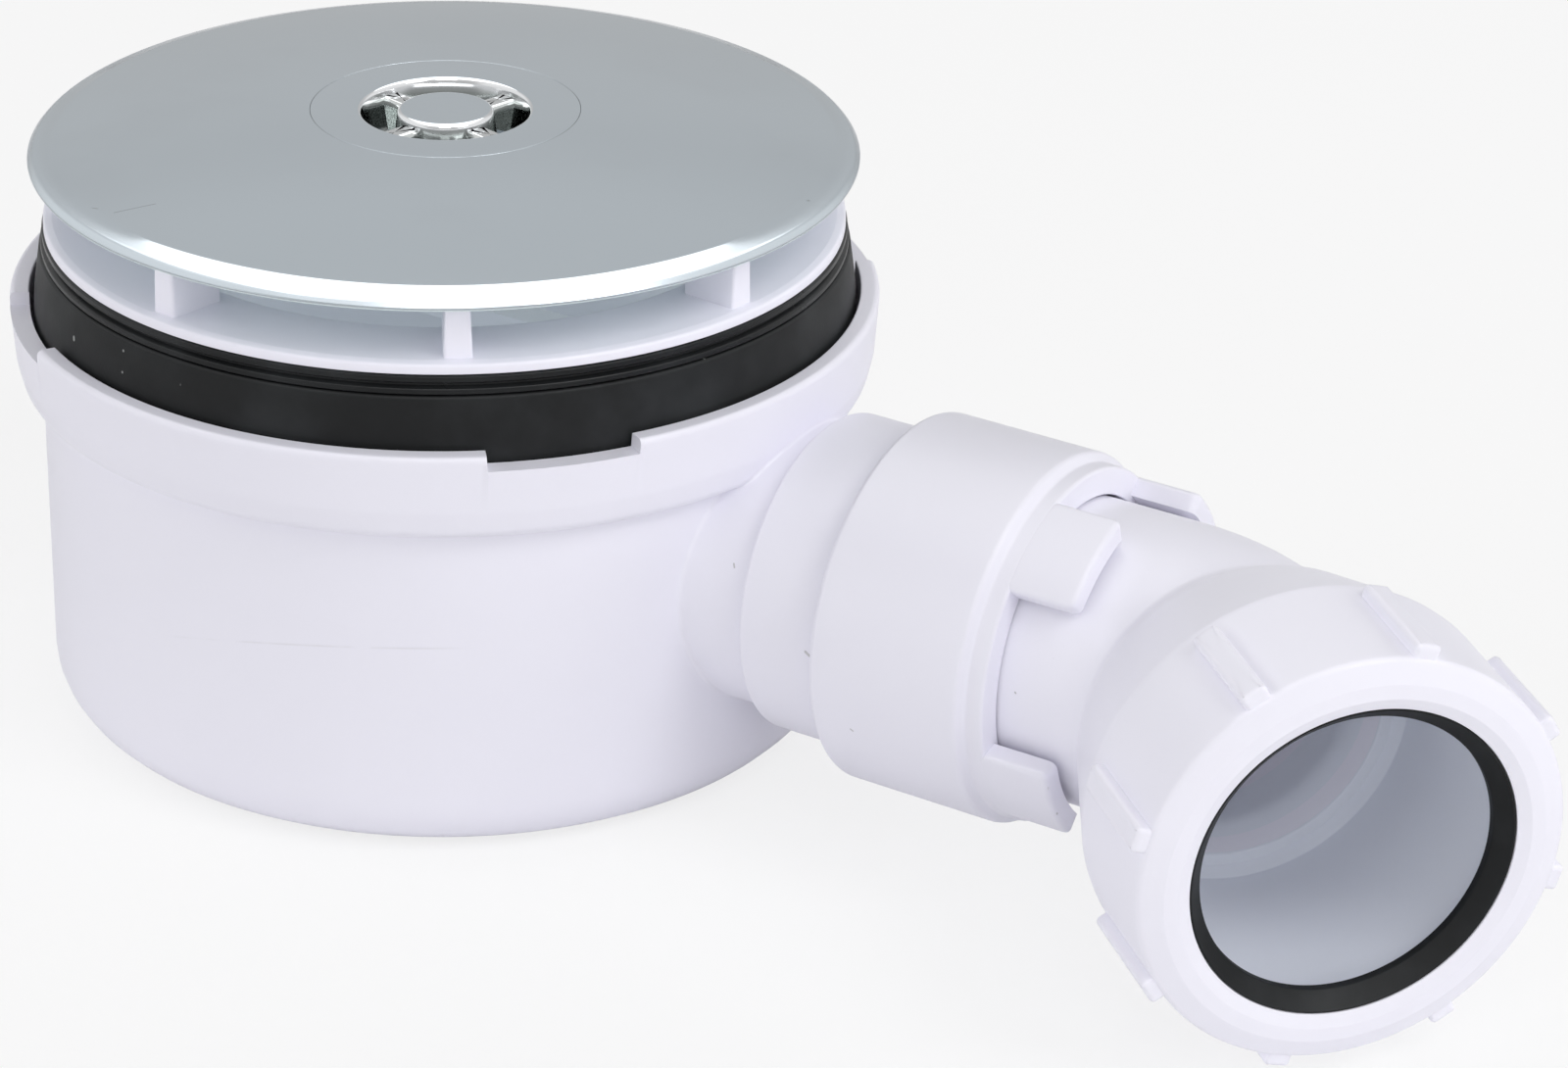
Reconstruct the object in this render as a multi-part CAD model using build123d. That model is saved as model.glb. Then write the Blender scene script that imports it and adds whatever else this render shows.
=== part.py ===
from build123d import *
import math
import os

# Shower trap. Millimetres, Z up, base on Z = 0, body axis on Z, outlet socket along +X.

# Sizes that drive the rest
tray_hole_dia = 90.0         # hole in the shower tray that the tail passes
pipe_dia = 40.0              # waste pipe that the outlet takes
pipe_spread = 3.0            # the thickest pipe that the outlet takes is this much wider
water_seal = 35.0            # depth of the water that shuts the trap
wall = 2.6                   # moulded wall

# Clearances
tray_gap = 1.1               # tail in the tray's hole
turn_gap = 0.35              # round faces that turn on each other
seat_gap = 0.3               # round faces that only sit in each other
shut_gap = 0.4               # end faces of a nut and its shoulder

# Roundings and cutters
edge_round = 0.5
fine_round = 0.25
overreach = 3.0              # cutters and wedges run past the solid by this

# Outlet bore, neck and socket, radii about the outlet axis
pipe_step = 3.0              # the pipe's end stands on a step this wide
elbow_bore_r = pipe_dia / 2 - pipe_step
bore_step = 0.2
outlet_bore_r = elbow_bore_r + bore_step
neck_wall = 2.7
neck_r = outlet_bore_r + neck_wall
socket_rise = 2.0
socket_r = neck_r + socket_rise
thread_rise = 0.5
socket_thread_r = socket_r + thread_rise

# Heights above the base
floor_z = wall
outlet_drop = 13.0           # from the neck's underside to the base
outlet_z = outlet_drop + neck_r
weir_rise = 11.1
weir_z = outlet_z + weir_rise
dip_bottom_z = weir_z - water_seal
ledge_rise = 19.1
ledge_z = outlet_z + ledge_rise
collar_drop = 4.4
collar_bottom_z = ledge_z - collar_drop
recess_depth = 8.5
collar_top_z = ledge_z + recess_depth
tray_seal_stand = 6.7
tray_seal_top_z = collar_top_z + tray_seal_stand
flange_seal_thick = 2.8
flange_under_z = tray_seal_top_z + flange_seal_thick
slot_rise = 9.4
cover_under_z = flange_under_z + slot_rise
cover_thick = 2.1
cover_top_z = cover_under_z + cover_thick

# Waste flange and its tail
tail_r = tray_hole_dia / 2 - tray_gap
tail_wall = 2.3
tail_bore_r = tail_r - tail_wall
flange_reach = 10.8
flange_r = tail_r + flange_reach
flange_edge = 1.3
flange_top_z = flange_under_z + flange_edge
edge_bead = 1.2
tail_ledge = 6.8
tail_ledge_r = tail_bore_r - tail_ledge
tail_foot = 0.6
tail_bottom_z = ledge_z + tail_foot
tail_ledge_thick = 2.0
tail_ledge_z = tail_bottom_z + tail_ledge_thick
mouth_round = 1.2
rib_count = 8
rib_first = -52.4            # degrees about Z from the outlet
rib_inset = 1.7
rib_outer_r = flange_r - rib_inset
rib_back = 2.9
rib_inner_r = tail_bore_r + rib_back
rib_foot = 3.9
rib_head = 3.2
rib_sink = 1.0

# Thread ring and tray seal
sleeve_r = tail_r + turn_gap
sleeve_wall = 2.6
sleeve_out_r = sleeve_r + sleeve_wall
sleeve_stand = 1.0
sleeve_top_z = collar_top_z + sleeve_stand
ring_floor = 2.5
tray_seal_room = 10.15
recess_r = sleeve_out_r + tray_seal_room
seal_foot_gap = 0.4          # tray seal in the recess, at its foot, at the collar's top and at its own top
seal_collar_gap = 0.65
seal_top_gap = 1.6

# Body and collar
collar_wall = 2.7
collar_r = recess_r + collar_wall
collar_taper = 0.5
collar_low_r = collar_r - collar_taper
collar_proud = 4.0
body_r = collar_r - collar_proud
cup_r = body_r - wall
base_round = 7.9
cup_round = base_round - wall
collar_step = 2.7            # the collar's underside: a step out, then a rounded rise
collar_step_rise = 1.3
collar_rise = 4.8
step_round = 2.2
collar_round = 4.0
collar_edge = 0.8
notch_count = 4
notch_first = -39.3          # degrees about Z from the outlet
notch_width = 19.6           # degrees
notch_depth = 1.9

# Dip tube
dip_gap = 0.8
dip_r = tail_ledge_r - dip_gap
dip_wall = 2.0
dip_rim_r = tail_bore_r - seat_gap
dip_rim = 5.6
dip_rim_z = tail_ledge_z + dip_rim
dip_mouth = 3.2              # the tube's mouth widens by this
bar_width = 5.0
bar_height = 3.0
bar_drop = 2.0
ring_section_r = 1.25
ring_rise = 3.0
ring_z = tail_ledge_z + ring_rise
ring_gap = 0.1

# Weir between the cup and the neck
weir_room = 4.5
weir_x = dip_r + weir_room
weir_thick = 2.5
weir_sink = 0.4

# Cover
cover_overhang = 1.8
cover_r = flange_r + cover_overhang
cover_slope = 3.5            # the top falls away over this width
cover_fall = 0.9
cover_shoulder = 0.75
cover_slope_round = 4.0
cover_edge_round = 1.3
cover_crown = 3.7            # the middle stands this much above the rim
crown_bulge = 0.45           # and the crown bulges this much between the two
crown_round = 400.0
crown_top_z = cover_top_z + cover_crown
crown_under_z = cover_under_z + cover_crown
crown_step = 1.7             # the underside drops to the ribs inside the tabs
crown_step_gap = 1.0
tab_width = 8.0              # degrees, four tabs that locate the cover inside the ribs
tab_depth = 2.4
tab_thick = 1.8
insert_r = 18.3
insert_line = 0.05
insert_seat = 1.4
insert_ledge = 1.7
insert_skirt_r = insert_r - insert_ledge
insert_hole_r = 11.6
insert_skirt = 3.6
insert_bottom_z = crown_under_z - insert_skirt
insert_lip = 1.8
button_r = 6.5
button_taper = 1.2
spoke_count = 4
spoke_first = -13.0
spoke_width = 3.4
spoke_drop = 2.2
spoke_sink = 1.5

# Outlet socket and swivel nut, measured along +X from the body axis
neck_length = 6.9
shoulder_length = 0.6
socket_start_x = body_r + neck_length
socket_bare = 12.6
nut_left_x = socket_start_x + socket_bare
thread_length = 14.8
socket_end_x = nut_left_x + thread_length
thread_start_x = nut_left_x + 2 * edge_round
swivel_seal_thick = 2.3
elbow_flange_thick = 2.8
flange_start_x = socket_end_x + swivel_seal_thick
flange_end_x = flange_start_x + elbow_flange_thick
nut_lip_x = flange_end_x + shut_gap
nut_lip_thick = 5.1
nut_notch_x = nut_lip_x + nut_lip_thick
nut_step = 3.4
nut_barrel_x = nut_notch_x - nut_step
lug_length = 9.2
nut_end_x = nut_notch_x + lug_length
nut_bore_r = socket_thread_r + turn_gap
nut_wall = 2.45
nut_r = nut_bore_r + nut_wall
nut_end_round = 0.8
nut_lead = 1.0
lug_step = 1.2
lug_r = nut_r - lug_step
lug_count = 4
lug_first = 57.5             # degrees above level, on the front
lug_width = 35.0
lug_round = 0.9

# Elbow, its arm measured from the bend's corner
elbow_wall = 2.9
elbow_r = elbow_bore_r + elbow_wall
elbow_flange_r = nut_bore_r - turn_gap
lug_clear = 1.3
lug_in_r = elbow_r + lug_clear
bend_room = 11.6
bend_x = nut_end_x + bend_room
bend_angle = 39.6
bend_ease = 2.1              # the inside of the bend has this radius
elbow_bend = elbow_r + bend_ease
bore_bend = elbow_bore_r + pipe_step
elbow_turn = 3.9             # the arm hangs by this angle about +X
thick_pipe_r = (pipe_dia + pipe_spread) / 2
pipe_fit = 0.2
pipe_socket_r = thick_pipe_r + pipe_fit
pipe_stop = 10.0
seat_ease = 0.6              # the socket narrows at its end to this much round the thinner pipe
seat_r = pipe_dia / 2 + seat_ease
seat_length = 1.5
spigot_wall = 3.6
spigot_r = pipe_socket_r + spigot_wall
shoulder_step = 2.5
shoulder_r = spigot_r + shoulder_step
shoulder_end = 25.2
bell_start = 2.0             # the bell starts inside the bent pipe
bell_root = 1.9
bell_root_r = elbow_r - bell_root
bell_knee = 9.0              # from here it widens less
bell_swell = 2.7
bell_knee_r = elbow_r + bell_swell
bell_round = 8.0
bell_rim = 1.0
spigot_length = 13.4
spigot_end = shoulder_end + spigot_length
spigot_chamfer = 0.8

# Outlet nut and seal
outlet_nut_wall = 2.45
outlet_nut_r = spigot_r + turn_gap + outlet_nut_wall
outlet_nut_start = shoulder_end + shut_gap
seal_head = 2.0              # the seal's head between the spigot and the nut's front wall
outlet_wall_x = spigot_end + seal_head
outlet_front_wall = 3.9
outlet_nut_end = outlet_wall_x + outlet_front_wall
face_width = 3.0             # outer band of the nut's face
face_fall = 0.1
face_drop = 1.3
face_round = 1.0
mouth_chamfer = 0.9
mouth_lead = 0.6
outlet_rib_rise = 1.7
outlet_rib_r = outlet_nut_r + outlet_rib_rise
outlet_rib_width = 3.6
outlet_rib_count = 8
outlet_rib_first = 62.3      # degrees above level, on the front
outlet_rib_back = 1.6
outlet_rib_start = outlet_nut_start + outlet_rib_back
outlet_rib_front = 1.5
outlet_rib_end = outlet_nut_end - outlet_rib_front
outlet_rib_round = 0.7
pipe_squeeze = 0.7           # the seal's lip is this much under the pipe's radius
seal_bore_r = pipe_dia / 2 - pipe_squeeze
lip_land = 1.4               # the lip's round face
lip_cone = 1.5               # the cone in front of the lip
lip_root = 1.6               # the lip stands on a root this much wider than its bore
lip_back = 0.9

swivel_axis = Axis((0, 0, outlet_z), (1, 0, 0))
outlet_frame = Plane(origin=(0, 0, outlet_z), x_dir=(0, 0, 1), z_dir=(1, 0, 0))
arm_dir = Vector(math.cos(math.radians(bend_angle)), -math.sin(math.radians(bend_angle)), 0)
bend_corner = Vector(bend_x, 0, outlet_z)
arm_frame = Plane(origin=bend_corner, x_dir=(0, 0, 1), z_dir=arm_dir)


def outline(points):
    """Face inside a closed outline; a third value at a corner is its rounding radius."""
    count = len(points)
    corners = [Vector(p[0], p[1]) for p in points]
    enter, leave, middle = [], [], []
    for i in range(count):
        here, rounding = corners[i], points[i][2] if len(points[i]) > 2 else 0
        if rounding == 0:
            enter.append(here)
            leave.append(here)
            middle.append(None)
            continue
        back = (corners[i - 1] - here).normalized()
        ahead = (corners[(i + 1) % count] - here).normalized()
        half = math.acos(max(-1, min(1, back.dot(ahead)))) / 2
        toward = (back + ahead).normalized()
        reach = rounding / math.tan(half)
        enter.append(here + back * reach)
        leave.append(here + ahead * reach)
        middle.append(here + toward * (rounding / math.sin(half) - rounding))
    edges = []
    for i in range(count):
        if middle[i] is not None:
            edges.append(ThreePointArc(enter[i], middle[i], leave[i]))
        following = enter[(i + 1) % count]
        if (following - leave[i]).length > 1e-6:
            edges.append(Line(leave[i], following))
    return make_face(edges)


def turned(points):
    """Solid of revolution about Z from (radius, height) points."""
    return revolve(Plane.XZ * outline(points), Axis.Z)


def along(frame, part):
    """Moves a piece made about Z onto another axis."""
    return frame.location * part


def hang(part):
    """Turns a piece of the elbow's arm about the swivel axis."""
    return part.rotate(swivel_axis, elbow_turn)


def sector(radius, middle, width, low, high):
    """Wedge about Z that holds everything within a radius and an angle."""
    half = math.radians(width / 2)
    side = radius * math.tan(half)
    wedge = outline([(0, 0), (radius, -side), (radius, side)])
    return Pos(0, 0, low) * Rot(0, 0, middle) * extrude(wedge, high - low)


def make_trap_body():
    cup = turned([
        (0, 0), (body_r, 0, base_round), (body_r, collar_bottom_z),
        (body_r + collar_step, collar_bottom_z + collar_step_rise, step_round),
        (collar_low_r, collar_bottom_z + collar_rise, collar_round), (collar_r, collar_top_z, collar_edge),
        (recess_r, collar_top_z, fine_round), (recess_r, ledge_z), (cup_r, ledge_z),
        (cup_r, floor_z, cup_round), (0, floor_z)])
    neck = along(outlet_frame, turned([
        (0, weir_x), (neck_r, weir_x), (neck_r, socket_start_x - shoulder_length),
        (socket_r, socket_start_x, edge_round), (socket_r, thread_start_x),
        (socket_thread_r, thread_start_x + edge_round), (socket_thread_r, socket_end_x - thread_rise),
        (socket_r, socket_end_x), (0, socket_end_x)]))
    inside = turned([
        (0, floor_z), (cup_r, floor_z), (cup_r, ledge_z), (recess_r, ledge_z), (recess_r, collar_top_z),
        (0, collar_top_z)])
    plate = Pos(weir_x + weir_thick / 2, 0, 0) * Box(
        weir_thick, 2 * body_r, weir_z, align=(Align.CENTER, Align.CENTER, Align.MIN))
    room_r, room_z = cup_r + weir_sink, floor_z - weir_sink
    weir = plate & turned([
        (0, room_z), (room_r, room_z, cup_round + weir_sink), (room_r, ledge_z), (0, ledge_z)])
    bore = along(outlet_frame, Pos(0, 0, weir_x + weir_thick) * Cylinder(
        outlet_bore_r, socket_end_x, align=(Align.CENTER, Align.CENTER, Align.MIN)))
    body = cup + (neck - inside) + weir - bore
    notch_z = collar_top_z - notch_depth
    top_z = collar_top_z + overreach
    ring = turned([
        (recess_r - overreach, notch_z), (collar_r + overreach, notch_z), (collar_r + overreach, top_z),
        (recess_r - overreach, top_z)])
    for k in range(notch_count):
        middle = notch_first + k * 360 / notch_count
        body -= ring & sector(collar_r + 2 * overreach, middle, notch_width, notch_z - overreach, top_z)
    return body


def make_thread_ring():
    outer = recess_r - seat_gap
    shelf_z = ledge_z + ring_floor
    return turned([
        (sleeve_r, ledge_z), (outer, ledge_z), (outer, shelf_z), (sleeve_out_r, shelf_z),
        (sleeve_out_r, sleeve_top_z, edge_round), (sleeve_r, sleeve_top_z, edge_round)])


def make_tray_seal():
    low, inner = ledge_z + ring_floor, sleeve_out_r + seat_gap
    return turned([
        (inner, low), (recess_r - seal_foot_gap, low), (recess_r - seal_collar_gap, collar_top_z),
        (recess_r - seal_top_gap, tray_seal_top_z, edge_round), (inner, tray_seal_top_z, edge_round)])


def make_flange_seal():
    low, high, inner = tray_seal_top_z, flange_under_z, tail_r + seat_gap
    lip, bead, waist = 2 * fine_round, flange_seal_thick / 3, flange_r - fine_round
    groove_z = (low + high) / 2
    return turned([
        (inner, low), (waist, low), (flange_r + lip, low + fine_round, fine_round),
        (flange_r + lip, low + bead, fine_round), (waist, groove_z - fine_round / 2),
        (waist, groove_z + fine_round / 2), (flange_r + fine_round, high - bead, fine_round),
        (flange_r + fine_round, high - fine_round, fine_round / 2), (waist, high), (inner, high)])


def make_waste_flange():
    flange = turned([
        (tail_ledge_r, tail_bottom_z), (tail_r, tail_bottom_z, edge_round), (tail_r, flange_under_z),
        (flange_r, flange_under_z), (flange_r, flange_top_z, edge_round),
        (flange_r - edge_bead, flange_top_z + fine_round, edge_round), (tail_bore_r, flange_top_z, mouth_round),
        (tail_bore_r, tail_ledge_z), (tail_ledge_r, tail_ledge_z)])
    low = flange_top_z - rib_sink
    section = outline([
        (-rib_foot / 2, low), (rib_foot / 2, low), (rib_head / 2, cover_under_z), (-rib_head / 2, cover_under_z)])
    rib_frame = Plane(origin=(rib_inner_r, 0, 0), x_dir=(0, 1, 0), z_dir=(1, 0, 0))
    rib = extrude(rib_frame * section, rib_outer_r - rib_inner_r)
    for k in range(rib_count):
        flange += Rot(0, 0, rib_first + k * 360 / rib_count) * rib
    return flange


def make_dip_tube():
    inner, rim_inner = dip_r - dip_wall, dip_r - dip_wall + dip_mouth
    groove_r = tail_bore_r - 2 * ring_section_r - ring_gap
    groove_low, groove_high = ring_z - ring_section_r - ring_gap, ring_z + ring_section_r + ring_gap
    tube = turned([
        (inner, dip_bottom_z), (dip_r, dip_bottom_z), (dip_r, tail_ledge_z), (dip_rim_r, tail_ledge_z),
        (dip_rim_r, groove_low), (groove_r, groove_low), (groove_r, groove_high), (dip_rim_r, groove_high),
        (dip_rim_r, dip_rim_z, edge_round), (rim_inner, dip_rim_z, edge_round), (rim_inner, tail_ledge_z + dip_mouth),
        (inner, tail_ledge_z)])
    bar = Pos(0, 0, dip_rim_z - bar_drop) * Box(
        2 * rim_inner + dip_wall, bar_width, bar_height, align=(Align.CENTER, Align.CENTER, Align.MAX))
    return tube + bar


def make_dip_ring():
    section = Plane.XZ * Pos(tail_bore_r - ring_section_r - ring_gap / 2, ring_z) * Circle(ring_section_r)
    return revolve(section, Axis.Z)


def make_cover_plate():
    locate_r = rib_inner_r - seat_gap
    hole_r, seat_r = insert_skirt_r + seat_gap, insert_r + insert_line
    slope_r, step_r = cover_r - cover_slope, locate_r - tab_thick - crown_step_gap
    crown_middle = ((slope_r + seat_r) / 2, (cover_top_z + crown_top_z) / 2 + crown_bulge)
    plate = turned([
        (hole_r, crown_under_z), (step_r - crown_step, cover_under_z + crown_step), (step_r, cover_under_z),
        (cover_r - fine_round, cover_under_z), (cover_r, cover_under_z + fine_round, fine_round / 2),
        (cover_r - cover_shoulder, cover_top_z - cover_fall, cover_edge_round),
        (slope_r, cover_top_z, cover_slope_round), (*crown_middle, crown_round), (seat_r, crown_top_z, fine_round / 2),
        (seat_r, crown_top_z - insert_seat), (hole_r, crown_top_z - insert_seat)])
    low, high = cover_under_z - tab_depth, cover_under_z + edge_round
    tabs = turned([
        (locate_r - tab_thick, low), (locate_r, low, edge_round), (locate_r, high), (locate_r - tab_thick, high)])
    for k in range(0, rib_count, 2):
        middle = rib_first + k * 360 / rib_count
        plate += tabs & sector(locate_r + overreach, middle, tab_width, low - overreach, high)
    return plate


def make_cover_insert():
    seat_z = crown_top_z - insert_seat
    ring = turned([
        (insert_hole_r, insert_bottom_z), (insert_skirt_r, insert_bottom_z), (insert_skirt_r, seat_z),
        (insert_r, seat_z), (insert_r, crown_top_z, fine_round / 2), (insert_hole_r, crown_top_z, insert_lip)])
    button = turned([
        (0, insert_bottom_z), (button_r - button_taper, insert_bottom_z), (button_r, crown_top_z, lug_round),
        (0, crown_top_z)])
    spoke = Pos(button_r - spoke_sink, 0, insert_bottom_z) * Box(
        insert_hole_r - button_r + 2 * spoke_sink, spoke_width, crown_top_z - spoke_drop - insert_bottom_z,
        align=(Align.MIN, Align.CENTER, Align.MIN))
    grille = ring + button
    for k in range(spoke_count):
        grille += Rot(0, 0, spoke_first + k * 360 / spoke_count) * spoke
    return grille


def make_swivel_nut():
    mouth_r, lip_r = socket_r + turn_gap, elbow_r + turn_gap
    barrel = turned([
        (mouth_r, nut_left_x), (nut_r, nut_left_x, nut_end_round), (nut_r, nut_barrel_x, nut_lead),
        (lug_r, nut_barrel_x + nut_lead, edge_round), (lug_r, nut_notch_x, edge_round), (lip_r, nut_notch_x),
        (lip_r, nut_lip_x), (nut_bore_r, nut_lip_x), (nut_bore_r, nut_left_x + 2 * nut_lead),
        (mouth_r, nut_left_x + nut_lead)])
    low = nut_notch_x - lug_round
    crown = turned([
        (lug_in_r, low), (lug_r, low), (lug_r, nut_end_x, lug_round), (lug_in_r, nut_end_x, lug_round)])
    nut = barrel
    for k in range(lug_count):
        middle = 90 - lug_first + k * 360 / lug_count
        nut += crown & sector(lug_r + overreach, middle, lug_width, low, nut_end_x + overreach)
    return along(outlet_frame, nut)


def make_swivel_seal():
    inner, outer = elbow_bore_r + shut_gap, elbow_flange_r - shut_gap
    return hang(along(outlet_frame, turned([
        (inner, socket_end_x), (outer, socket_end_x), (outer, flange_start_x), (inner, flange_start_x)])))


def bent(radius, bend_radius, start_x, reach):
    """Round bar along the outlet's axis, round the bend and along the arm to a distance from the corner."""
    start = Vector(start_x, 0, outlet_z)
    way = FilletPolyline(start, bend_corner, bend_corner + arm_dir * reach, radius=bend_radius)
    return sweep(Plane(origin=start, z_dir=(1, 0, 0)) * Circle(radius), path=way)


def make_elbow():
    inlet = along(outlet_frame, turned([
        (0, flange_start_x), (elbow_flange_r, flange_start_x), (elbow_flange_r, flange_end_x), (0, flange_end_x)]))
    pipe = bent(elbow_r, elbow_bend, flange_start_x, bell_knee)
    bell = along(arm_frame, turned([
        (0, bell_start), (bell_root_r, bell_start), (bell_knee_r, bell_knee, bell_round),
        (shoulder_r, shoulder_end - bell_rim), (shoulder_r - edge_round, shoulder_end), (spigot_r, shoulder_end),
        (spigot_r, spigot_end - spigot_chamfer), (spigot_r - spigot_chamfer, spigot_end), (0, spigot_end)]))
    bore = bent(elbow_bore_r, bore_bend, flange_start_x - overreach, pipe_stop + overreach)
    socket_end = spigot_end + overreach
    socket = along(arm_frame, turned([
        (0, pipe_stop), (seat_r, pipe_stop), (pipe_socket_r, pipe_stop + seat_length), (pipe_socket_r, socket_end),
        (0, socket_end)]))
    return hang(inlet + pipe + bell - bore - socket)


def make_outlet_nut():
    inner = spigot_r + turn_gap
    shell = turned([
        (inner, outlet_nut_start), (outlet_nut_r, outlet_nut_start, edge_round),
        (outlet_nut_r, outlet_nut_end - face_drop, face_round),
        (outlet_nut_r - face_width, outlet_nut_end - face_fall, edge_round),
        (thick_pipe_r + mouth_chamfer, outlet_nut_end), (thick_pipe_r, outlet_nut_end - mouth_lead),
        (thick_pipe_r, outlet_wall_x), (inner, outlet_wall_x)])
    root_r = outlet_nut_r - edge_round
    rib = Pos(root_r, 0, outlet_rib_start) * Box(
        outlet_rib_r - root_r, outlet_rib_width, outlet_rib_end - outlet_rib_start,
        align=(Align.MIN, Align.CENTER, Align.MIN))
    keep = turned([
        (0, outlet_rib_start), (outlet_rib_r, outlet_rib_start, outlet_rib_round),
        (outlet_rib_r, outlet_rib_end, outlet_rib_round), (0, outlet_rib_end)])
    one = rib & keep
    nut = shell
    for k in range(outlet_rib_count):
        nut += Rot(0, 0, 90 - outlet_rib_first + k * 360 / outlet_rib_count) * one
    return hang(along(arm_frame, nut))


def make_outlet_seal():
    head_r, mouth_r = spigot_r - seat_gap, thick_pipe_r - pipe_fit
    front = outlet_nut_end - mouth_lead
    land_front = front - lip_cone
    land_back = land_front - lip_land
    return hang(along(arm_frame, turned([
        (pipe_socket_r - seat_gap, spigot_end), (head_r, spigot_end), (head_r, outlet_wall_x),
        (mouth_r, outlet_wall_x), (mouth_r, front), (mouth_r - pipe_fit, front), (seal_bore_r, land_front),
        (seal_bore_r, land_back), (seal_bore_r + lip_root, land_back - lip_back)])))


pieces = {
    "cover_plate": make_cover_plate(),
    "cover_insert": make_cover_insert(),
    "waste_flange": make_waste_flange(),
    "flange_seal": make_flange_seal(),
    "tray_seal": make_tray_seal(),
    "thread_ring": make_thread_ring(),
    "trap_body": make_trap_body(),
    "dip_tube": make_dip_tube(),
    "dip_ring": make_dip_ring(),
    "swivel_nut": make_swivel_nut(),
    "swivel_seal": make_swivel_seal(),
    "elbow": make_elbow(),
    "outlet_nut": make_outlet_nut(),
    "outlet_seal": make_outlet_seal(),
}

os.makedirs("parts", exist_ok=True)
for name, piece in pieces.items():
    export_step(piece, f"parts/{name}.step")
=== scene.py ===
# %% [markdown]
# # A shower trap, dressed in Blender
# The imported model is the frame: fourteen pieces of a shower trap at their real size and place. This
# lesson gives those pieces their moulded edges, their plated and rubber surfaces, and the light of a small
# studio. The frame is loaded first, because every later cell takes its place from it.

# %% Load the frame
import math

import bmesh
import bpy
import numpy as np
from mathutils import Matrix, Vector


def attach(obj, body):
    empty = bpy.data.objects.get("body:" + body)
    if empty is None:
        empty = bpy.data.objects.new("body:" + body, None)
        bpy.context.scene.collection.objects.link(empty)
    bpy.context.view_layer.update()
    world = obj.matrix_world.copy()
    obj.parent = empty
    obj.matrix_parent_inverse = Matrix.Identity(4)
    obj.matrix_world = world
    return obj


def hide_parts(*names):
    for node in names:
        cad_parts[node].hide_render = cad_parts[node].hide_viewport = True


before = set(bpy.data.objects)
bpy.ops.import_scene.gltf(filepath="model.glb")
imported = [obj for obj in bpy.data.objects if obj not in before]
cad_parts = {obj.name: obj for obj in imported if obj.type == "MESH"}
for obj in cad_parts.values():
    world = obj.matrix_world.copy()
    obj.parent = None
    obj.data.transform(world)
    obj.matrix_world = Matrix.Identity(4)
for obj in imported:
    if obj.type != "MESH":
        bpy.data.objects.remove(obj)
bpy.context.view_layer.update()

mm = 0.001

# %% [markdown]
# ## Profiles with rounded corners
# Almost every piece of a trap is turned or moulded round an axis, so its shape is a profile. A moulding
# has no knife edges: each corner of the profile carries a small radius, and that radius is what catches
# the light. A Bevel modifier could round the corners later, but a profile that already holds its arcs
# keeps every row of the mesh where it is needed. A holding point beside each arc keeps the flat next to
# it flat when shaded.

# %% A profile through rounded corners
ARC_STEPS = 7


def rounded(corners):
    """Points of a profile in millimetres. A corner (a, b, radius) becomes the circular arc of that
    radius that touches both of its sides, and a holding point stands a quarter radius outside each end
    of the arc."""
    spot = np.array([corner[:2] for corner in corners], float)
    radius = np.array([corner[2] if len(corner) > 2 else 0.0 for corner in corners])
    back, ahead = np.roll(spot, 1, 0) - spot, np.roll(spot, -1, 0) - spot
    side = np.linalg.norm(ahead, axis=1)
    back /= np.linalg.norm(back, axis=1)[:, None]
    ahead /= side[:, None]
    half = np.arccos(np.clip((back * ahead).sum(1), -1, 1)) / 2
    reach = np.where(radius > 0, radius / np.tan(half), 0)
    spare = side - reach - np.roll(reach, -1)
    hold = np.minimum(0.25 * radius, 0.3 * np.minimum(spare, np.roll(spare, 1))).clip(0)
    left_turn = np.sign(ahead[:, 0] * back[:, 1] - ahead[:, 1] * back[:, 0])
    points = []
    for i in range(len(spot)):
        if radius[i] == 0:
            points.append(spot[i:i + 1])
            continue
        toward = (back[i] + ahead[i]) / np.linalg.norm(back[i] + ahead[i])
        centre = spot[i] + toward * radius[i] / math.sin(half[i])
        enter, leave = spot[i] + back[i] * reach[i], spot[i] + ahead[i] * reach[i]
        turn = left_turn[i] * (math.pi - 2 * half[i]) * np.linspace(0, 1, ARC_STEPS + 1)[:, None]
        arm, across = enter - centre, np.array([centre[1] - enter[1], enter[0] - centre[0]])
        arc = centre + arm * np.cos(turn) + across * np.sin(turn)
        if hold[i] > 0.01:
            arc = np.concatenate([[enter + back[i] * hold[i]], arc, [leave + ahead[i] * hold[i]]])
        points.append(arc)
    return np.concatenate(points)


print("a square with one round corner has", len(rounded([(0, 0), (4, 0, 1), (4, 4), (0, 4)])), "points")

# %% [markdown]
# ## Surfaces of revolution, pads and meshes
# Two kinds of surface make the whole object. A turned surface carries a profile round an axis. A pad is
# a small block with rounded corners and edges, such as a rib or a grip lug, and it is worked out flat
# before it is laid on a cylinder or stood on a flange. Both are grids of points, so one function can
# turn any number of them into one mesh, close its poles and mark its sharp edges.

# %% Turn, place and pad
COLUMNS = 256


def around(columns=COLUMNS):
    """Angles of one full turn, without the repeated last one."""
    return np.linspace(0, 2 * np.pi, columns, endpoint=False)


def turned(profile, angles=None):
    """Grid of a profile (r, h) carried round the axis: the point at angle t is (r cos t, r sin t,
    h)."""
    t = around() if angles is None else angles
    r, h = profile[:, :1], profile[:, 1:]
    return np.stack([r * np.cos(t), r * np.sin(t), h + 0 * t], -1)


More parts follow.
